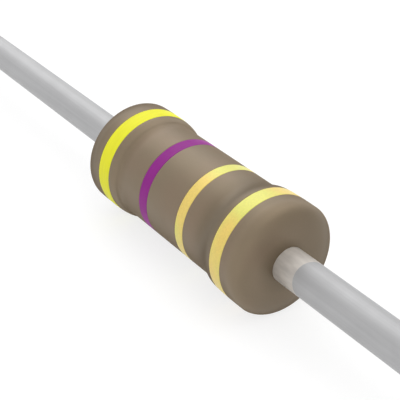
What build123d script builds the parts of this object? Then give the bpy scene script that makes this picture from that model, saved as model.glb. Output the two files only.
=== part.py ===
"""A carbon film resistor of the quarter-watt axial class, in millimetres.

The body lies along X with its middle at the origin. The first digit's band is
towards -X and the tolerance band towards +X.
"""

import os
from math import sqrt

from build123d import *

# Ceramic rod, and the carbon film baked onto its round side
rod_diameter = 1.90
rod_length = 5.14
rod_chamfer = 0.08
film_thickness = 0.04

# Helical groove, cut through the film to trim the resistance
kerf_width = 0.18
kerf_pitch = 0.80
kerf_turns = 3
kerf_bite_in_rod = 0.03

# Drawn steel end caps, pressed over the filmed rod
cap_sheet = 0.13
cap_depth = 0.86
cap_corner_clearance = 0.02

# Tinned copper leads, and the ring of metal that each one's weld leaves on its cap
lead_diameter = 0.78
lead_length = 28.0
lead_tip_chamfer = 0.06
weld_ring_height = 0.12
weld_ring_length = 0.10

# Lacquer, thin over the film and swelling over the caps
lacquer_over_film = 0.15
lacquer_over_cap = 0.13
lacquer_over_cap_end = 0.20
lacquer_past_cap = 0.23
end_corner_length = 0.225
end_corner_height = 0.55
bulge_straight = 0.175

# How far the waist, the steep rise and the bulge pull on the shoulder's curve
crease_pull = 0.17
rise_lean = 0.07
shoulder_pull = 0.31

# Colour bands, let into the lacquer so that the outside stays smooth
band_depth = 0.04
first_digit_inset = 0.783
first_digit_width = 0.396
second_digit_place = -0.646
second_digit_width = 0.303
multiplier_place = 0.721
multiplier_width = 0.274
tolerance_inset = 0.776
tolerance_width = 0.352

# Radii, from the axis outwards
rod_radius = rod_diameter / 2
film_radius = rod_radius + film_thickness
cap_radius = film_radius + cap_sheet
waist_radius = film_radius + lacquer_over_film
bulge_radius = cap_radius + lacquer_over_cap
lead_radius = lead_diameter / 2

# Places along the axis, from the middle to the right
rod_end = rod_length / 2
film_end = rod_end - rod_chamfer
cap_end = rod_end + cap_sheet
cap_mouth = cap_end - cap_depth
body_end = cap_end + lacquer_over_cap_end
waist_end = cap_mouth - lacquer_past_cap
corner_start = body_end - end_corner_length
shoulder_top = corner_start - bulge_straight
lead_tip = body_end + lead_length


def body_outline(sunk=0.0):
    """Half section of the lacquered body, its round side sunk towards the axis."""
    waist = waist_radius - sunk
    bulge = bulge_radius - sunk
    with BuildLine() as outline:
        Line((0, waist), (waist_end, waist))
        Bezier(
            (waist_end, waist),
            (waist_end + crease_pull, waist),
            (waist_end - rise_lean, bulge),
            (waist_end + shoulder_pull, bulge),
            (shoulder_top, bulge),
        )
        Line((shoulder_top, bulge), (corner_start, bulge))
        EllipticalCenterArc(
            (corner_start, bulge - end_corner_height),
            end_corner_length,
            end_corner_height,
            start_angle=0,
            arc_size=90,
        )
        Line((body_end, bulge - end_corner_height), (body_end, 0))
        mirror(about=Plane.YZ)
        Line((body_end, 0), (-body_end, 0))
    return outline.edges()


def trimming_kerf():
    """The sweep of the trimming cut, from inside the rod to inside the lacquer."""
    cut_floor = rod_radius - kerf_bite_in_rod
    cut_roof = film_radius + lacquer_over_film / 2
    cut_length = kerf_turns * kerf_pitch
    with BuildPart() as kerf:
        with BuildLine():
            path = Helix(
                pitch=kerf_pitch,
                height=cut_length,
                radius=(cut_floor + cut_roof) / 2,
                center=(-cut_length / 2, 0, 0),
                direction=(1, 0, 0),
            )
        start = path @ 0
        outwards = (0, start.Y, start.Z)
        with BuildSketch(Plane(origin=start, x_dir=outwards, z_dir=path % 0)):
            Rectangle(cut_roof - cut_floor, kerf_width)
        sweep(path=path, is_frenet=True)
    return kerf.part


def colour_band(place, width):
    """One painted ring, its outside flush with the lacquer's."""
    with BuildPart() as band:
        with BuildSketch(Plane.XZ):
            make_face(body_outline())
            make_face(body_outline(band_depth), mode=Mode.SUBTRACT)
            with Locations((place, 0)):
                Rectangle(width, 3 * bulge_radius, mode=Mode.INTERSECT)
        revolve(axis=Axis.X)
    return band.part


# Ceramic rod
with BuildPart() as ceramic_rod:
    with BuildSketch(Plane.YZ):
        Circle(rod_radius)
    extrude(amount=rod_end, both=True)
    chamfer(ceramic_rod.edges().filter_by(GeomType.CIRCLE), rod_chamfer)

# Carbon film, a sleeve that the trimming cut turns into a long helical path
kerf = trimming_kerf()
with BuildPart() as carbon_film:
    with BuildSketch(Plane.YZ):
        Circle(film_radius)
        Circle(rod_radius, mode=Mode.SUBTRACT)
    extrude(amount=film_end, both=True)
    add(kerf, mode=Mode.SUBTRACT)

# End caps, each a blank hollowed from its mouth to an even sheet, with the weld's
# ring standing on its end round the lead
cap_bevel = rod_chamfer - cap_corner_clearance + cap_sheet * (2 - sqrt(2))
with BuildPart() as cap_blank:
    with BuildSketch(Plane.YZ.offset(cap_mouth)):
        Circle(cap_radius)
    extrude(amount=cap_depth)
    chamfer(cap_blank.edges().sort_by(Axis.X)[-1], cap_bevel)
with BuildPart() as weld_ring:
    with BuildSketch(Plane.XZ):
        with BuildLine():
            Polyline(
                (cap_end, lead_radius - weld_ring_length),
                (cap_end, lead_radius + weld_ring_height),
                (cap_end + weld_ring_length, lead_radius),
                close=True,
            )
        make_face()
    revolve(axis=Axis.X)
with BuildPart() as end_cap_right:
    add(cap_blank.part)
    mouth = end_cap_right.faces().sort_by(Axis.X)[0]
    offset(amount=-cap_sheet, openings=mouth)
    add(weld_ring.part)
with BuildPart() as end_cap_left:
    mirror(end_cap_right.part, about=Plane.YZ)

# Leads, each with its root coned into the weld's ring
with BuildPart() as lead_right:
    with BuildSketch(Plane.YZ.offset(cap_end)):
        Circle(lead_radius)
    extrude(amount=lead_tip - cap_end)
    root_edge, tip_edge = lead_right.edges().filter_by(GeomType.CIRCLE).sort_by(Axis.X)
    chamfer(root_edge, weld_ring_length)
    chamfer(tip_edge, lead_tip_chamfer)
with BuildPart() as lead_left:
    mirror(lead_right.part, about=Plane.YZ)

# Colour bands
bands = {
    "first_digit_band": colour_band(first_digit_inset - body_end, first_digit_width),
    "second_digit_band": colour_band(second_digit_place, second_digit_width),
    "multiplier_band": colour_band(multiplier_place, multiplier_width),
    "tolerance_band": colour_band(body_end - tolerance_inset, tolerance_width),
}

# Lacquer coating, which fills the trimming cut down to the rod
with BuildPart() as coating:
    with BuildSketch(Plane.XZ):
        make_face(body_outline())
    revolve(axis=Axis.X)
    with BuildSketch(Plane.YZ):
        Circle(film_radius)
    extrude(amount=rod_end, both=True, mode=Mode.SUBTRACT)
    add(kerf)
    with BuildSketch(Plane.YZ):
        Circle(rod_radius)
    extrude(amount=rod_end, both=True, mode=Mode.SUBTRACT)
    add([cap_blank.part, weld_ring.part], mode=Mode.SUBTRACT)
    mirror([cap_blank.part, weld_ring.part], about=Plane.YZ, mode=Mode.SUBTRACT)
    add([lead_left.part, lead_right.part], mode=Mode.SUBTRACT)
    add(bands.values(), mode=Mode.SUBTRACT)

pieces = {
    "ceramic_rod": ceramic_rod.part,
    "carbon_film": carbon_film.part,
    "end_cap_left": end_cap_left.part,
    "end_cap_right": end_cap_right.part,
    "lead_left": lead_left.part,
    "lead_right": lead_right.part,
    "coating": coating.part,
    **bands,
}
os.makedirs("parts", exist_ok=True)
for name, piece in pieces.items():
    piece.label = name
    export_step(piece, f"parts/{name}.step")
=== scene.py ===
"""A carbon film resistor dressed for a studio picture.

The lacquered body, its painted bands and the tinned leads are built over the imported
solids, whose hidden core keeps its shape and gets its finishes.
"""

import math
from bisect import bisect
from functools import partial

import bmesh
import bpy
from mathutils import Matrix, Vector
from mathutils.geometry import intersect_point_line


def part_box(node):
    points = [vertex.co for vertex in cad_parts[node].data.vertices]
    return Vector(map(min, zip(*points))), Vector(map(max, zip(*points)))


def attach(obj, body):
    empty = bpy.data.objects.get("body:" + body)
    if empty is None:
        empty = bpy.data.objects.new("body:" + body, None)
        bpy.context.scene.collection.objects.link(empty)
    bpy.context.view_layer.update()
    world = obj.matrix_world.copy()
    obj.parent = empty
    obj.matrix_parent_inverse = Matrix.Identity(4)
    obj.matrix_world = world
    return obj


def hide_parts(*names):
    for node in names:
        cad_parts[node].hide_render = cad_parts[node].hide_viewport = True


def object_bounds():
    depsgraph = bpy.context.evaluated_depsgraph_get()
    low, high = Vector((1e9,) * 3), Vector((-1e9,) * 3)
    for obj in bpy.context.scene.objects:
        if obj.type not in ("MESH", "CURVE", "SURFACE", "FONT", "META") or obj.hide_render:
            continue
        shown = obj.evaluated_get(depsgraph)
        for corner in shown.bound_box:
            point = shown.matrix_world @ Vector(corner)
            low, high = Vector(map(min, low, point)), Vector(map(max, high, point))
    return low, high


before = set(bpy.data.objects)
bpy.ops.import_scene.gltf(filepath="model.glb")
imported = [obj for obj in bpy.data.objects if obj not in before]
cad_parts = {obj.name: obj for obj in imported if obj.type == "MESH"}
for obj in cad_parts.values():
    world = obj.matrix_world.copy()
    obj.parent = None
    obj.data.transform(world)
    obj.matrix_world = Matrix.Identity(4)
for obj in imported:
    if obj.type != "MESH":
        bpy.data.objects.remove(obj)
cad_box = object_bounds()

bl_info = {
    "name": "Carbon Film Resistor",
    "version": (1, 0, 0),
    "blender": (4, 5, 0),
    "location": "3D View > Sidebar > Resistor",
    "description": "Dresses an axial resistor and sets the stage for its picture",
    "category": "Object",
}

MM = 0.001
PER_MM = 1 / MM

# Sides of what is swept round, and steps along the curves of its section
BODY_SIDES = 192
LEAD_SIDES = 128
FLOOR_SIDES = 96
WAIST_STEPS = 8
SHOULDER_STEPS = 36
CORNER_STEPS = 16
RIM_STEPS = 12
# Halvings that find a place on the shoulder's curve
HALVINGS = 30
# Bend from which an edge is shaded sharp
SHARP_BEND = math.radians(32)

# The bands' nodes from left to right, with their slots
BANDS = {
    "first_digit_band": "yellow_paint",
    "second_digit_band": "violet_paint",
    "multiplier_band": "gold_paint",
    "tolerance_band": "gold_paint",
}


def linear(code):
    """Linear RGBA from an sRGB hex colour."""
    shares = [int(code[i : i + 2], 16) / 255 for i in (1, 3, 5)]
    return [
        s / 12.92 if s <= 0.04045 else ((s + 0.055) / 1.055) ** 2.4 for s in shares
    ] + [1.0]


# Properties
def length(name, description, default):
    return bpy.props.FloatProperty(
        name=name,
        description=description,
        default=default,
        min=0.0,
        precision=6,
        unit="LENGTH",
    )


def amount(name, description, default, high=1.0):
    return bpy.props.FloatProperty(
        name=name, description=description, default=default, min=0.0, max=high
    )


def angle(name, description, degrees):
    return bpy.props.FloatProperty(
        name=name,
        description=description,
        default=math.radians(degrees),
        subtype="ANGLE",
    )


def colour(name, description, code):
    return bpy.props.FloatVectorProperty(
        name=name,
        description=description,
        default=linear(code),
        size=4,
        min=0.0,
        max=1.0,
        subtype="COLOR",
    )


class BodySizes(bpy.types.PropertyGroup):
    """Half section of the lacquered body, measured from the axis and the middle."""

    end: length("Body end", "Where the end faces stand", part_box("coating")[1].x)
    bulge: length("Bulge radius", "Over the end caps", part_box("coating")[1].z)
    waist: length("Waist radius", "Over the filmed rod", 1.14 * MM)
    waist_end: length("Waist end", "Where the waist turns into a shoulder", 1.61 * MM)
    shoulder_top: length("Shoulder top", "Where the bulge is full", 2.50 * MM)
    corner_start: length("Corner start", "Where the bulge rounds off", 2.675 * MM)
    corner_height: length("Corner height", "How far the round reaches in", 0.55 * MM)
    crease_pull: length("Crease pull", "How far the waist leads the curve", 0.17 * MM)
    rise_lean: length("Rise lean", "How far the rise leans to the waist", 0.07 * MM)
    shoulder_pull: length("Shoulder pull", "How early the bulge rounds", 0.31 * MM)
    band_depth: length("Band depth", "How deep the bands are let in", 0.04 * MM)
    edge_round: length("Edge round", "Radius of the paint's and lacquer's edges", 0.01 * MM)
    flow: length("Flow", "Reach over which wet lacquer evens a bend's shading", 0.15 * MM)


class CoreSizes(bpy.types.PropertyGroup):
    """What the lacquer closes round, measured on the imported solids."""

    film: length("Film radius", "Outside of the carbon film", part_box("carbon_film")[1].z)
    cap: length("Cap radius", "Outside of the end caps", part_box("end_cap_right")[1].z)
    cap_mouth: length("Cap mouth", "Open end of the caps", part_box("end_cap_right")[0].x)
    cap_end: length("Cap end", "Closed end of the caps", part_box("lead_right")[0].x)
    cap_bevel: length("Cap bevel", "Round the caps' closed end", 0.136 * MM)
    ring_tip: length("Weld ring tip", "Far end of the weld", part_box("end_cap_right")[1].x)
    ring_height: length("Weld ring height", "Above the lead", 0.12 * MM)


class LeadSizes(bpy.types.PropertyGroup):
    """The wire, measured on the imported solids."""

    radius: length("Lead radius", "Of the tinned wire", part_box("lead_right")[1].z)
    tip: length("Lead tip", "Where the wire is cut off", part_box("lead_right")[1].x)
    tip_chamfer: length("Tip chamfer", "Round the cut", 0.06 * MM)
    # Reach of the lacquer film on the wire, partly matched to a painted reflection of the
    # body's end
    creep_and_reflection: length("Lacquer creep", "How far lacquer wets the wire", 0.70 * MM)


class Finish(bpy.types.PropertyGroup):
    """Colours and glosses."""

    lacquer: colour("Lacquer", "Tan epoxy", "#756857")
    lacquer_rosy: colour("Rosy lacquer", "Where its clouds are warmer", "#776757")
    # A paler lacquer colour, painted light over the lower cap's edge and the upper shoulder
    lacquer_painted_light: colour("Thin lacquer", "Where it drew thin", "#7e705e")
    # A darker lacquer colour, painted shade over the lower bulge's foot, round the lower
    # lead and on both ends
    painted_shade: colour("Pooled lacquer", "Where it ran down and set thick", "#5a4f40")
    yellow: colour("Yellow paint", "First digit", "#f7f537")
    violet: colour("Violet paint", "Second digit", "#9e2596")
    gold: colour("Gold paint", "Multiplier and tolerance", "#f6dd78")
    # Pale gold: flakes lying flat, and partly a painted highlight on top of the bands
    gold_pale_highlight: colour("Pale gold", "Where its flakes lie flat", "#ece97b")
    tin: colour("Tin", "On the wire", "#bcbcbd")
    # Pale warm lacquer film on the wire, partly a painted reflection of the body's end
    creep_and_reflection: colour("Creep", "Thin lacquer on the wire", "#d3cdc6")
    copper: colour("Copper", "Bared at the cut ends", "#d98a63")
    lacquer_tint: colour("Lacquer tint", "Of its gloss, from the amber binder", "#ffe6c0")
    lacquer_gloss: amount("Lacquer roughness", "Satin", 0.42)
    lacquer_glance: amount("Lacquer glance", "Roughness gained at a glancing angle", 0.45)
    lacquer_shine: amount("Lacquer shine", "0.5 for its own IOR", 1.00)
    paint_gloss: amount("Paint roughness", "Satin", 0.50)
    paint_shine: amount("Paint shine", "0.5 for its own IOR", 0.20)
    tin_gloss: amount("Tin roughness", "Hot dip", 0.60)


class Stage(bpy.types.PropertyGroup):
    """Camera, light and floor."""

    turn: angle("Turn", "Camera's bearing from +X", -35.07)
    rise: angle("Rise", "Camera's height over the floor", 31.16)
    distance: length("Distance", "From the camera to its aim", 22.786 * MM)
    focal: bpy.props.FloatProperty(
        name="Focal length",
        description="On a 36 mm wide sensor",
        default=94.78,
        min=1.0,
        unit="CAMERA",
    )
    aim: bpy.props.FloatVectorProperty(
        name="Aim",
        description="Point that the camera looks at",
        default=(-0.0582 * MM, -0.0448 * MM, 0.0362 * MM),
        precision=6,
        subtype="TRANSLATION",
        unit="LENGTH",
    )
    dome: amount("Dome", "Light from all over the sky", 0.71, 10.0)
    key: amount("Key", "Light of the wide soft box overhead", 0.90, 10.0)
    key_turn: angle("Key turn", "Bearing of its middle from +X", 60)
    key_rise: angle("Key rise", "Height of its middle over the floor", 64)
    key_edge: angle("Key edge", "Half width where it has faded", 50)
    fill: amount("Fill", "Light of the soft box behind, at the left", 1.55, 10.0)
    fill_turn: angle("Fill turn", "Bearing of its middle from +X", 164)
    fill_rise: angle("Fill rise", "Height of its middle over the floor", 39)
    fill_edge: angle("Fill edge", "Half width where it has faded", 32)
    strip: amount("Strip", "Light of the low soft box at the left", 0.40, 10.0)
    strip_turn: angle("Strip turn", "Bearing of its middle from +X", 207)
    strip_rise: angle("Strip rise", "Height of its middle over the floor", 24)
    strip_edge: angle("Strip edge", "Half width where it has faded", 24)
    box_core: angle("Box core", "Half width of each box's full part", 5)
    flat: length("Flat floor", "Radius of the flat part", 0.30)
    sweep: length("Sweep", "Radius of the floor's turned-up edge", 0.20)


GROUPS = {
    "resistor_body": BodySizes,
    "resistor_core": CoreSizes,
    "resistor_lead": LeadSizes,
    "resistor_finish": Finish,
    "resistor_stage": Stage,
}


def bearing(turn, rise):
    """Unit vector at an angle round from +X and an angle up from the floor."""
    flat = math.cos(rise)
    return Vector((flat * math.cos(turn), flat * math.sin(turn), math.sin(rise)))


# Sections and meshes
def shoulder_point(body, share):
    """Point (x, radius) of the curve from the waist up to the bulge."""
    points = [
        Vector((body.waist_end, body.waist)),
        Vector((body.waist_end + body.crease_pull, body.waist)),
        Vector((body.waist_end - body.rise_lean, body.bulge)),
        Vector((body.waist_end + body.shoulder_pull, body.bulge)),
        Vector((body.shoulder_top, body.bulge)),
    ]
    while len(points) > 1:
        points = [a.lerp(b, share) for a, b in zip(points, points[1:])]
    return points[0]


def body_radius(body, x):
    """Radius of the body's outside at a place along the axis."""
    x = abs(x)
    if x <= body.waist_end:
        return body.waist
    if x < body.shoulder_top:
        low, high = 0.0, 1.0
        for _ in range(HALVINGS):
            share = (low + high) / 2
            if shoulder_point(body, share).x < x:
                low = share
            else:
                high = share
        return shoulder_point(body, low).y
    if x <= body.corner_start:
        return body.bulge
    run = min(1.0, (x - body.corner_start) / (body.end - body.corner_start))
    return body.bulge - body.corner_height * (1 - math.sqrt(1 - run * run))


def body_places(body):
    """Places along the axis where the section has points, close where it bends."""
    corner = body.end - body.corner_start
    half = [body.waist_end * i / WAIST_STEPS for i in range(WAIST_STEPS)]
    half += [shoulder_point(body, i / SHOULDER_STEPS).x for i in range(SHOULDER_STEPS + 1)]
    half += [
        body.corner_start + corner * math.sin(math.pi / 2 * i / CORNER_STEPS)
        for i in range(1, CORNER_STEPS + 1)
    ]
    return [-x for x in half[:0:-1]] + half


def outside(body, start, end, sunk=0.0):
    """Section of the body's outside from start to end, sunk towards the axis."""
    near = 0.002 * MM
    inner = [x for x in body_places(body) if start + near < x < end - near]
    return [(x, body_radius(body, x) - sunk) for x in [start, *inner, end]]


def rounded_edge(body, edge, side):
    """Section of an edge's round, from the outside down to the wall of the edge."""
    points = []
    for turn in (0, 30, 60, 90):
        turn = math.radians(turn)
        x = edge + side * body.edge_round * (1 - math.sin(turn))
        sunk = body.edge_round * (1 - math.cos(turn))
        points.append((x, body_radius(body, x) - sunk))
    return points


def flowed_normals(body, bore, section):
    """Normal (x, outwards) at each section point on the body's outside, else None.

    Each lies square to the chord between the points of the outside that stand a
    flow's reach before it and after it, so that bends shade softly.
    """
    ends = [(-body.end, bore), *outside(body, -body.end, body.end), (body.end, bore)]
    outline = [Vector(point) for point in ends]
    places = [0.0]
    for a, b in zip(outline, outline[1:]):
        places.append(places[-1] + (b - a).length)

    def point_at(place):
        place = min(max(place, 0.0), places[-1])
        i = min(bisect(places, place), len(places) - 1)
        share = (place - places[i - 1]) / (places[i] - places[i - 1])
        return outline[i - 1].lerp(outline[i], share)

    normals = []
    for point in map(Vector, section):
        gaps = []
        for a, b, place in zip(outline, outline[1:], places):
            share = min(max(intersect_point_line(point, a, b)[1], 0.0), 1.0)
            gaps.append(((a.lerp(b, share) - point).length, place + share * (b - a).length))
        gap, place = min(gaps)
        chord = point_at(place + body.flow) - point_at(place - body.flow)
        square = Vector((-chord.y, chord.x)).normalized()
        normals.append(square if gap < body.edge_round / 10 else None)
    return normals


def corner_normals(data, sides, normals):
    """Normal at each face corner on the outside; zeros elsewhere keep the mesh's own."""
    corners = []
    for face in data.polygons:
        rings = [vertex // sides for vertex in face.vertices]
        outer = max(rings) - min(rings) == 1 and all(normals[ring] for ring in rings)
        for ring, vertex in zip(rings, face.vertices):
            turn = 2 * math.pi * (vertex % sides) / sides
            x, out = normals[ring] if outer else (0, 0)
            corners.append((x, out * math.cos(turn), out * math.sin(turn)))
    return corners


def revolved(name, section, sides, closed, normals=None):
    """Object that an (x, radius) section sweeps round the X axis."""
    mesh = bmesh.new()
    rings = []
    for x, radius in section:
        if radius == 0:
            rings.append([mesh.verts.new((x, 0, 0))])
            continue
        rings.append(
            [
                mesh.verts.new((x, radius * math.cos(turn), radius * math.sin(turn)))
                for turn in (2 * math.pi * i / sides for i in range(sides))
            ]
        )
    pairs = list(zip(rings, rings[1:]))
    if closed:
        pairs.append((rings[-1], rings[0]))
    for a, b in pairs:
        for i in range(sides):
            j = (i + 1) % sides
            corners = [a[i % len(a)], b[i % len(b)], b[j % len(b)], a[j % len(a)]]
            mesh.faces.new(list(dict.fromkeys(corners)))
    bmesh.ops.recalc_face_normals(mesh, faces=mesh.faces)
    for face in mesh.faces:
        face.smooth = True
    data = bpy.data.meshes.new(name)
    mesh.to_mesh(data)
    mesh.free()
    data.set_sharp_from_angle(angle=SHARP_BEND)
    if normals:
        data.normals_split_custom_set(corner_normals(data, sides, normals))
    piece = bpy.data.objects.new(name, data)
    bpy.context.scene.collection.objects.link(piece)
    return piece


def seat(piece, node, surface):
    """Put the piece in its node's place, with that slot's finish."""
    piece.data.materials.append(surface)
    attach(piece, "root")
    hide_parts(node)


# Materials
BUMP = "ShaderNodeBump"
MAPPING = "ShaderNodeMapping"
MATH = "ShaderNodeMath"
MIX = "ShaderNodeMix"
NOISE = "ShaderNodeTexNoise"
OUTPUT = "ShaderNodeOutputMaterial"
PRINCIPLED = "ShaderNodeBsdfPrincipled"
RANGE = "ShaderNodeMapRange"
SPLIT = "ShaderNodeSeparateXYZ"
VECTOR = "ShaderNodeVectorMath"

# A colour Mix has its colours at sockets 6 and 7, and its result at 2
COLOURS = {"output": 2, "data_type": "RGBA"}
# A Map Range takes what lies between sockets 1 and 2 over to between 3 and 4
SMOOTH = {"interpolation_type": "SMOOTHSTEP"}
# Where most values of a noise lie, as a Map Range's from and to
SPREAD = {1: 0.3, 2: 0.7}
# How far a roughness drifts either way over a piece
DRIFT = 0.03


def add_node(tree, kind, inputs=None, output=0, **settings):
    """Add a node with its settings and its inputs' values or links; give its output."""
    made = tree.nodes.new(kind)
    for name, value in settings.items():
        setattr(made, name, value)
    for socket, value in (inputs or {}).items():
        if isinstance(value, bpy.types.NodeSocket):
            tree.links.new(value, made.inputs[socket])
        else:
            made.inputs[socket].default_value = value
    return made.outputs[output] if made.outputs else None


def blank_surface(name):
    """An empty material, what adds nodes to it, and the place on it in millimetres."""
    surface = bpy.data.materials.new(name)
    surface.use_nodes = True
    surface.node_tree.nodes.clear()
    add = partial(add_node, surface.node_tree)
    where = add("ShaderNodeTexCoord", output="Object")
    return surface, add, add(VECTOR, {0: where, "Scale": PER_MM}, operation="SCALE")


def epoxy_lacquer(finish):
    """Dip-coated epoxy lacquer with a mineral filler: satin, faintly clouded and orange
    peeled. Its colour is darkened as painted shade over the lower bulge's foot, round the
    lower lead, on the lower end, most to one side, and on the upper end. It is made paler
    as painted light over the lower cap's edge and down the upper shoulder."""
    surface, add, place = blank_surface("epoxy_lacquer")
    along = add(SPLIT, {0: place}, "X")
    # Clouds 0.9 mm across, from uneven dipping
    clouds = add(NOISE, {"Vector": place, "Scale": 1 / 0.9, "Detail": 1.0})
    rosy = add(RANGE, {0: clouds, 1: 0.35, 2: 0.65})
    tone = add(MIX, {0: rosy, 6: finish.lacquer, 7: finish.lacquer_rosy}, **COLOURS)
    # Where each zone sets in, is full, fades and is over, in mm along the axis
    # The first two zones take painted light, the last takes painted shade in the crease
    zones = {
        "lower cap's edge": (2.40, 2.60, 2.76, 2.88),
        "upper shoulder": (-1.92, -1.76, -1.70, -1.54),
        "lower bulge's foot": (1.05, 1.68, 1.80, 2.05),
    }
    masks = []
    for start, full, fading, over in zones.values():
        rise = add(RANGE, {0: along, 1: start, 2: full}, **SMOOTH)
        fall = add(RANGE, {0: along, 1: over, 2: fading}, **SMOOTH)
        masks.append(add(MATH, {0: rise, 1: fall}, operation="MULTIPLY"))
    edge, shoulder, foot = masks
    # Painted light: the lacquer is made paler over the lower cap's edge and down the upper
    # shoulder
    painted_light_mask = add(MATH, {0: edge, 1: shoulder}, operation="MAXIMUM")
    tone = add(MIX, {0: painted_light_mask, 6: tone, 7: finish.lacquer_painted_light}, **COLOURS)
    # Painted shade round the lower lead, by the distance from the axis in mm
    out = add(VECTOR, {0: place, 1: (0, 1, 1)}, operation="MULTIPLY")
    out = add(VECTOR, {0: out}, "Value", operation="LENGTH")
    near = add(RANGE, {0: out, 1: 0.95, 2: 0.35}, **SMOOTH)
    lower = add(RANGE, {0: along, 1: 2.6, 2: 2.8})
    root = add(MATH, {0: near, 1: lower}, operation="MULTIPLY")
    # Painted shade over the lower end, most to one side, and less over the upper one
    end = add(RANGE, {0: along, 1: 2.70, 2: 2.86}, **SMOOTH)
    across = add(SPLIT, {0: place}, "Y")
    across = add(RANGE, {0: across, 1: -0.9, 2: 0.5, 3: 0.05, 4: 0.85})
    end = add(MATH, {0: end, 1: across}, operation="MULTIPLY")
    upper = add(RANGE, {0: along, 1: -2.30, 2: -2.50, 3: 0.0, 4: 0.5})
    # All these masks darken the colour as painted shade
    painted_shade = foot
    for more in (root, end, upper):
        painted_shade = add(MATH, {0: painted_shade, 1: more}, operation="MAXIMUM")
    tone = add(MIX, {0: painted_shade, 6: tone, 7: finish.painted_shade}, **COLOURS)
    clouds = add(RANGE, {0: clouds, **SPREAD, 3: 0.98, 4: 1.02})
    # Filler grains, drawn coarser than they are, at 0.04 mm
    grains = add(NOISE, {"Vector": place, "Scale": 1 / 0.04, "Detail": 1.0})
    shades = add(RANGE, {0: grains, 1: 0.25, 2: 0.75, 3: 0.985, 4: 1.015})
    shades = add(MATH, {0: clouds, 1: shades}, operation="MULTIPLY")
    tone = add(MIX, {0: 1.0, 6: tone, 7: shades}, **COLOURS, blend_type="MULTIPLY")
    middle = finish.lacquer_gloss
    gloss = add(NOISE, {"Vector": place, "Scale": 1 / 0.6})
    gloss = add(RANGE, {0: gloss, **SPREAD, 3: middle - DRIFT, 4: middle + DRIFT})
    # The filler's grains break up its gloss at a glancing angle
    glance = add("ShaderNodeLayerWeight", output="Facing")
    glance = add(RANGE, {0: glance, 1: 0.45, 2: 0.90, 4: finish.lacquer_glance}, **SMOOTH)
    gloss = add(MATH, {0: gloss, 1: glance}, operation="ADD")
    # Orange peel, 0.3 mm from crest to crest and 2 microns deep, under the grains
    peel = add(NOISE, {"Vector": place, "Scale": 1 / 0.30, "Detail": 1.0})
    peel = add(BUMP, {"Height": peel, "Distance": 0.0022 * MM})
    relief = add(BUMP, {"Height": grains, "Distance": 0.0003 * MM, "Normal": peel})
    shader = add(
        PRINCIPLED,
        {
            "Base Color": tone,
            "Roughness": gloss,
            "Normal": relief,
            "IOR": 1.50,
            "Specular IOR Level": finish.lacquer_shine,
            "Specular Tint": finish.lacquer_tint,
        },
    )
    add(OUTPUT, {0: shader})
    return surface


def enamel_paint(name, tone, finish):
    """Opaque enamel rolled on as a ring: even, satin, so full of pigment that it
    scatters light back as a rough face does, and faintly streaked round."""
    surface, add, place = blank_surface(name)
    # Roller streaks 0.05 mm wide, drawn out round the ring
    turned = add(MAPPING, {0: place, "Scale": (12, 1, 1)})
    streaks = add(NOISE, {"Vector": turned, "Scale": 1 / 0.6})
    shades = add(RANGE, {0: streaks, **SPREAD, 3: 0.97, 4: 1.03})
    tone = add(MIX, {0: 1.0, 6: tone, 7: shades}, **COLOURS, blend_type="MULTIPLY")
    middle = finish.paint_gloss
    gloss = add(NOISE, {"Vector": place, "Scale": 1 / 0.25})
    gloss = add(RANGE, {0: gloss, **SPREAD, 3: middle - DRIFT, 4: middle + DRIFT})
    relief = add(BUMP, {"Height": streaks, "Distance": 0.0006 * MM})
    shader = add(
        PRINCIPLED,
        {
            "Base Color": tone,
            "Roughness": gloss,
            "Normal": relief,
            "IOR": 1.50,
            "Specular IOR Level": finish.paint_shine,
            "Diffuse Roughness": 1.0,
        },
    )
    add(OUTPUT, {0: shader})
    return surface


def gold_paint(finish):
    """Paint with bronze flakes in it: yellow metal that scatters as a rough face
    does, in soft patches where the flakes lie flat or on edge, placed so that the pale
    ones also make a painted highlight on top of the bands."""
    surface, add, place = blank_surface("gold_pigment_paint")
    # Patches 1 mm across, shifted so that pale ones lie on top of the bands: partly flakes,
    # partly a painted highlight
    shifted = add(MAPPING, {0: place, "Location": (0.6, -3.9, -2.3)})
    flake_patches_and_highlight = add(NOISE, {"Vector": shifted, "Scale": 1 / 1.0, "Detail": 0.5})
    flake_patches_and_highlight = add(RANGE, {0: flake_patches_and_highlight, 1: 0.42, 2: 0.60})
    tone = add(MIX, {0: flake_patches_and_highlight, 6: finish.gold, 7: finish.gold_pale_highlight}, **COLOURS)
    # Flakes, drawn coarser than they are, at 0.03 mm
    flakes = add("ShaderNodeTexVoronoi", {"Vector": place, "Scale": 1 / 0.03}, "Color")
    tilt = add("ShaderNodeSeparateColor", {0: flakes}, "Green")
    shades = add(RANGE, {0: flakes, 3: 0.94, 4: 1.05})
    tone = add(MIX, {0: 1.0, 6: tone, 7: shades}, **COLOURS, blend_type="MULTIPLY")
    gloss = add(RANGE, {0: tilt, 3: 0.34, 4: 0.44})
    relief = add(BUMP, {"Height": tilt, "Distance": 0.0006 * MM})
    shader = add(
        PRINCIPLED,
        {
            "Base Color": tone,
            "Roughness": gloss,
            "Normal": relief,
            "Metallic": 0.12,
            "Diffuse Roughness": 1.0,
        },
    )
    add(OUTPUT, {0: shader})
    return surface


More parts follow.
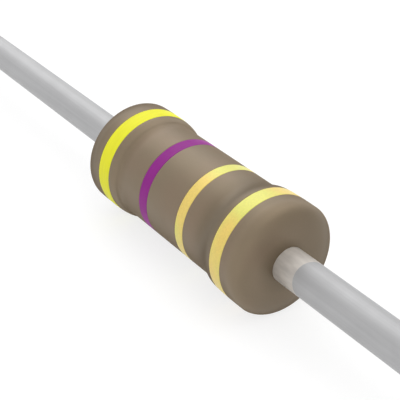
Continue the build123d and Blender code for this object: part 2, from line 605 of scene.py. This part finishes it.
def tinned_copper(finish, lead, body):
    """Hot-dipped tin on drawn copper wire: slightly wavy, dulled by a trace of oxide
    that scatters part of the light, with fine draw marks along it, a warm film of lacquer
    next to the body whose pale tone and leaning front are partly a painted reflection of
    the body's end, and the copper bared at the cut end."""
    surface, add, place = blank_surface("tinned_copper_wire")
    along = add(SPLIT, {0: place}, "X")
    away = add(MATH, {0: along}, operation="ABSOLUTE")
    # The film's front leans, following a painted reflection of the body's end: 0.13 mm
    # short of its reach on one side, past it on the other
    lean = add(VECTOR, {0: place, 1: (0, -0.23, 0.24)}, "Value", operation="DOT_PRODUCT")
    lean = add(MATH, {0: away, 1: lean}, operation="ADD")
    film_end = (body.end + lead.creep_and_reflection) * PER_MM
    film_and_reflection_mask = add(RANGE, {0: lean, 1: film_end, 2: film_end - 0.006})
    # The copper is bare from 0.004 mm behind the cut face
    bare_from = lead.tip * PER_MM - 0.004
    bared = add(RANGE, {0: away, 1: bare_from - 0.001, 2: bare_from})
    # Draw marks, drawn coarser than they are, 0.05 mm wide and 60 times as long
    drawn = add(MAPPING, {0: place, "Scale": (1 / 60, 1, 1)})
    marks = add(NOISE, {"Vector": drawn, "Scale": 1 / 0.05, "Detail": 3.0})
    shades = add(RANGE, {0: marks, **SPREAD, 3: 0.96, 4: 1.04})
    tone = add(MIX, {0: 1.0, 6: finish.tin, 7: shades}, **COLOURS, blend_type="MULTIPLY")
    # The film dried in runs 0.12 mm wide and three times as long
    ran = add(MAPPING, {0: place, "Scale": (1 / 3, 1, 1)})
    runs = add(NOISE, {"Vector": ran, "Scale": 1 / 0.12, "Detail": 2.0})
    runs = add(RANGE, {0: runs, **SPREAD, 3: 0.88, 4: 1.10})
    # The film's pale warm tone is partly a painted reflection of the body's end
    film = add(MIX, {0: 1.0, 6: finish.creep_and_reflection, 7: runs}, **COLOURS, blend_type="MULTIPLY")
    tone = add(MIX, {0: film_and_reflection_mask, 6: tone, 7: film}, **COLOURS)
    tone = add(MIX, {0: bared, 6: tone, 7: finish.copper}, **COLOURS)
    # How metallic the oxidised tin looks, bare and through the film
    metal = add(RANGE, {0: film_and_reflection_mask, 3: 0.80, 4: 0.30})
    middle = finish.tin_gloss
    gloss = add(NOISE, {"Vector": place, "Scale": 1 / 0.5})
    gloss = add(RANGE, {0: gloss, **SPREAD, 3: middle - DRIFT, 4: middle + DRIFT})
    gloss = add(MIX, {0: film_and_reflection_mask, 2: gloss, 3: finish.lacquer_gloss})
    # Tin drains unevenly, in waves 0.45 mm across and 1.1 mm long
    drained = add(MAPPING, {0: place, "Scale": (0.4, 1, 1)})
    waves = add(NOISE, {"Vector": drained, "Scale": 1 / 0.45, "Detail": 1.0})
    relief = add(BUMP, {"Height": waves, "Distance": 0.010 * MM})
    relief = add(BUMP, {"Height": marks, "Distance": 0.0005 * MM, "Normal": relief})
    shader = add(
        PRINCIPLED,
        {"Base Color": tone, "Metallic": metal, "Roughness": gloss, "Normal": relief},
    )
    add(OUTPUT, {0: shader})
    return surface


def steatite():
    """Pressed and fired steatite: white, dry and finely grained."""
    surface, add, place = blank_surface("steatite")
    # Grains, drawn coarser than they are, at 0.06 mm
    grains = add(NOISE, {"Vector": place, "Scale": 1 / 0.06, "Detail": 3.0})
    tone = add(MIX, {0: grains, 6: linear("#dcd8ce"), 7: linear("#f0ede6")}, **COLOURS)
    relief = add(BUMP, {"Height": grains, "Distance": 0.001 * MM})
    shader = add(
        PRINCIPLED,
        {"Base Color": tone, "Normal": relief, "Roughness": 0.75, "IOR": 1.60},
    )
    add(OUTPUT, {0: shader})
    return surface


def pyrolytic_carbon():
    """Carbon baked on from gas: near black with a soft graphite sheen."""
    surface, add, place = blank_surface("pyrolytic_carbon")
    # Patches of sheen 0.3 mm across
    sheen = add(NOISE, {"Vector": place, "Scale": 1 / 0.3, "Detail": 3.0})
    tone = add(MIX, {0: sheen, 6: linear("#2a2a2d"), 7: linear("#3a3a3e")}, **COLOURS)
    gloss = add(RANGE, {0: sheen, **SPREAD, 3: 0.30, 4: 0.45})
    shader = add(PRINCIPLED, {"Base Color": tone, "Roughness": gloss, "IOR": 1.90})
    add(OUTPUT, {0: shader})
    return surface


def drawn_steel():
    """Tinned steel sheet drawn to a cup: bright, with draw marks along it."""
    surface, add, place = blank_surface("drawn_steel")
    # Draw marks, drawn coarser than they are, 0.04 mm wide and 20 times as long
    drawn = add(MAPPING, {0: place, "Scale": (1 / 20, 1, 1)})
    marks = add(NOISE, {"Vector": drawn, "Scale": 1 / 0.04, "Detail": 3.0})
    tone = add(MIX, {0: marks, 6: linear("#bdbbb6"), 7: linear("#d2d0cb")}, **COLOURS)
    gloss = add(RANGE, {0: marks, **SPREAD, 3: 0.26, 4: 0.38})
    relief = add(BUMP, {"Height": marks, "Distance": 0.0006 * MM})
    shader = add(
        PRINCIPLED,
        {"Base Color": tone, "Roughness": gloss, "Normal": relief, "Metallic": 1.0},
    )
    add(OUTPUT, {0: shader})
    return surface


def white_paper():
    """Matt white paper, which the camera and reflections see lit to white."""
    surface, add, place = blank_surface("matt_white_paper")
    # Fibres 0.4 mm long
    fibres = add(NOISE, {"Vector": place, "Scale": 1 / 0.4})
    tone = add(MIX, {0: fibres, 6: linear("#dcdcdc"), 7: linear("#e0e0e0")}, **COLOURS)
    paper = add("ShaderNodeBsdfDiffuse", {"Color": tone})
    # Its own light is this share of what they see, and the lit rest keeps the shadow
    glow, glow_share = 1.25, 0.62
    lit = add("ShaderNodeEmission", {"Color": (1, 1, 1, 1), "Strength": glow})
    seen = add("ShaderNodeLightPath", output="Is Camera Ray")
    for kind in ("Is Glossy Ray", "Is Transmission Ray"):
        ray = add("ShaderNodeLightPath", output=kind)
        seen = add(MATH, {0: seen, 1: ray}, operation="ADD", use_clamp=True)
    share = add(MATH, {0: seen, 1: glow_share}, operation="MULTIPLY")
    both = add("ShaderNodeMixShader", {0: share, 1: paper, 2: lit})
    add(OUTPUT, {0: both})
    return surface


# Operators
class RESISTOR_OT_core(bpy.types.Operator):
    """Give the rod, the film and the end caps their finishes"""

    bl_idname = "resistor.core"
    bl_label = "Core"

    def execute(self, context):
        cap = drawn_steel()
        finishes = {
            "ceramic_rod": steatite(),
            "carbon_film": pyrolytic_carbon(),
            "end_cap_left": cap,
            "end_cap_right": cap,
        }
        for node, surface in finishes.items():
            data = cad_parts[node].data
            data.materials.clear()
            data.materials.append(surface)
        return {"FINISHED"}


class RESISTOR_OT_coating(bpy.types.Operator):
    """Build the lacquer round the core, with a recess for each band"""

    bl_idname = "resistor.coating"
    bl_label = "Lacquer coating"

    def execute(self, context):
        scene = context.scene
        body, core, lead = scene.resistor_body, scene.resistor_core, scene.resistor_lead
        section, place = [(-body.end, lead.radius)], -body.end
        for node in BANDS:
            low, high = (corner.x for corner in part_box(node))
            section += outside(body, place, low - body.edge_round)[:-1]
            section += rounded_edge(body, low, -1)
            section += outside(body, low, high, body.band_depth)
            section += reversed(rounded_edge(body, high, 1)[1:])
            place = high + body.edge_round
        section += outside(body, place, body.end)
        bore = [
            (body.end, lead.radius),
            (core.ring_tip, lead.radius),
            (core.cap_end, lead.radius + core.ring_height),
            (core.cap_end, core.cap - core.cap_bevel),
            (core.cap_end - core.cap_bevel, core.cap),
            (core.cap_mouth, core.cap),
            (core.cap_mouth, core.film),
        ]
        section += bore + [(-x, radius) for x, radius in bore[:0:-1]]
        normals = flowed_normals(body, lead.radius, section)
        piece = revolved("lacquer_coating", section, BODY_SIDES, True, normals)
        seat(piece, "coating", epoxy_lacquer(scene.resistor_finish))
        return {"FINISHED"}


class RESISTOR_OT_bands(bpy.types.Operator):
    """Build the four painted rings, flush with the lacquer"""

    bl_idname = "resistor.bands"
    bl_label = "Colour bands"

    def execute(self, context):
        scene = context.scene
        body, lead, finish = scene.resistor_body, scene.resistor_lead, scene.resistor_finish
        paints = {
            "yellow_paint": enamel_paint("yellow_enamel", finish.yellow, finish),
            "violet_paint": enamel_paint("violet_enamel", finish.violet, finish),
            "gold_paint": gold_paint(finish),
        }
        for node, slot in BANDS.items():
            low, high = (corner.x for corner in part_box(node))
            section = list(reversed(rounded_edge(body, low, 1)))
            section += outside(body, low + body.edge_round, high - body.edge_round)[1:-1]
            section += rounded_edge(body, high, -1)
            section += reversed(outside(body, low, high, body.band_depth))
            normals = flowed_normals(body, lead.radius, section)
            piece = revolved("painted_" + node, section, BODY_SIDES, True, normals)
            seat(piece, node, paints[slot])
        return {"FINISHED"}


class RESISTOR_OT_leads(bpy.types.Operator):
    """Build the two tinned wires"""

    bl_idname = "resistor.leads"
    bl_label = "Leads"

    def execute(self, context):
        scene = context.scene
        body, core, lead = scene.resistor_body, scene.resistor_core, scene.resistor_lead
        root = core.ring_tip - core.cap_end
        section = [
            (core.cap_end, 0),
            (core.cap_end, lead.radius - root),
            (core.ring_tip, lead.radius),
            (body.end, lead.radius),
            (lead.tip - lead.tip_chamfer, lead.radius),
            (lead.tip, lead.radius - lead.tip_chamfer),
            (lead.tip, 0),
        ]
        tin = tinned_copper(scene.resistor_finish, lead, body)
        for node, side in (("lead_left", -1), ("lead_right", 1)):
            turned = [(side * x, radius) for x, radius in section]
            piece = revolved("tinned_" + node, turned, LEAD_SIDES, False)
            seat(piece, node, tin)
        return {"FINISHED"}


class RESISTOR_OT_stage(bpy.types.Operator):
    """Set the floor, the light and the camera"""

    bl_idname = "resistor.stage"
    bl_label = "Stage"

    def execute(self, context):
        scene, stage = context.scene, context.scene.resistor_stage
        self.lay_floor(stage)
        self.light(scene, stage)
        self.place_camera(scene, stage)
        scene.view_settings.view_transform = "Standard"
        return {"FINISHED"}

    def lay_floor(self, stage):
        """A flat disc that sweeps up at its rim, under the body's bulges."""
        low = cad_box[0].z
        section = [(low, 0)] + [
            (
                low + stage.sweep * (1 - math.cos(turn)),
                stage.flat + stage.sweep * math.sin(turn),
            )
            for turn in (math.pi / 2 * i / RIM_STEPS for i in range(RIM_STEPS + 1))
        ]
        # Swept round X, and then stood up with X as Z
        floor = revolved("floor", section, FLOOR_SIDES, False)
        floor.data.transform(Matrix.Rotation(-math.pi / 2, 4, "Y"))
        floor.data.materials.append(white_paper())

    def light(self, scene, stage):
        """A soft sky with three soft boxes in it."""
        world = bpy.data.worlds.new("soft_sky")
        world.use_nodes = True
        world.node_tree.nodes.clear()
        add = partial(add_node, world.node_tree)
        way = add("ShaderNodeTexCoord", output="Generated")
        boxes = (
            (stage.key, stage.key_turn, stage.key_rise, stage.key_edge),
            (stage.fill, stage.fill_turn, stage.fill_rise, stage.fill_edge),
            (stage.strip, stage.strip_turn, stage.strip_rise, stage.strip_edge),
        )
        strength = stage.dome
        for most, turn, rise, edge in boxes:
            middle = bearing(turn, rise)
            towards = add(VECTOR, {0: way, 1: middle}, "Value", operation="DOT_PRODUCT")
            reach = {1: math.cos(edge), 2: math.cos(stage.box_core)}
            share = add(RANGE, {0: towards, **reach, 4: most}, **SMOOTH)
            strength = add(MATH, {0: share, 1: strength}, operation="ADD")
        sky = add("ShaderNodeBackground", {"Color": (1, 1, 1, 1), "Strength": strength})
        add("ShaderNodeOutputWorld", {0: sky})
        scene.world = world

    def place_camera(self, scene, stage):
        """A long lens, turned to its aim."""
        lens = bpy.data.cameras.new("camera")
        lens.lens = stage.focal
        lens.sensor_width = 36.0
        lens.clip_start = 1 * MM
        lens.clip_end = 10.0
        camera = bpy.data.objects.new("camera", lens)
        back = bearing(stage.turn, stage.rise)
        camera.matrix_world = Matrix.Translation(
            Vector(stage.aim) + stage.distance * back
        ) @ back.to_track_quat("Z", "Y").to_matrix().to_4x4()
        scene.collection.objects.link(camera)
        scene.camera = camera


OPERATORS = (
    RESISTOR_OT_core,
    RESISTOR_OT_coating,
    RESISTOR_OT_bands,
    RESISTOR_OT_leads,
    RESISTOR_OT_stage,
)


class VIEW3D_PT_resistor(bpy.types.Panel):
    """The pieces and the stage, with their sizes and colours"""

    bl_idname = "VIEW3D_PT_resistor"
    bl_label = "Resistor"
    bl_space_type = "VIEW_3D"
    bl_region_type = "UI"
    bl_category = "Resistor"

    def draw(self, context):
        layout = self.layout
        for operator in OPERATORS:
            layout.operator(operator.bl_idname)
        for group, kind in GROUPS.items():
            box = layout.box()
            for name in kind.__annotations__:
                box.prop(getattr(context.scene, group), name)


def register():
    for kind in (*GROUPS.values(), *OPERATORS, VIEW3D_PT_resistor):
        bpy.utils.register_class(kind)
    for group, kind in GROUPS.items():
        setattr(bpy.types.Scene, group, bpy.props.PointerProperty(type=kind))


def unregister():
    for group in GROUPS:
        delattr(bpy.types.Scene, group)
    for kind in reversed((*GROUPS.values(), *OPERATORS, VIEW3D_PT_resistor)):
        bpy.utils.unregister_class(kind)


def main():
    register()
    bpy.ops.resistor.core()
    bpy.ops.resistor.coating()
    bpy.ops.resistor.bands()
    bpy.ops.resistor.leads()
    bpy.ops.resistor.stage()


if __name__ == "__main__":
    main()
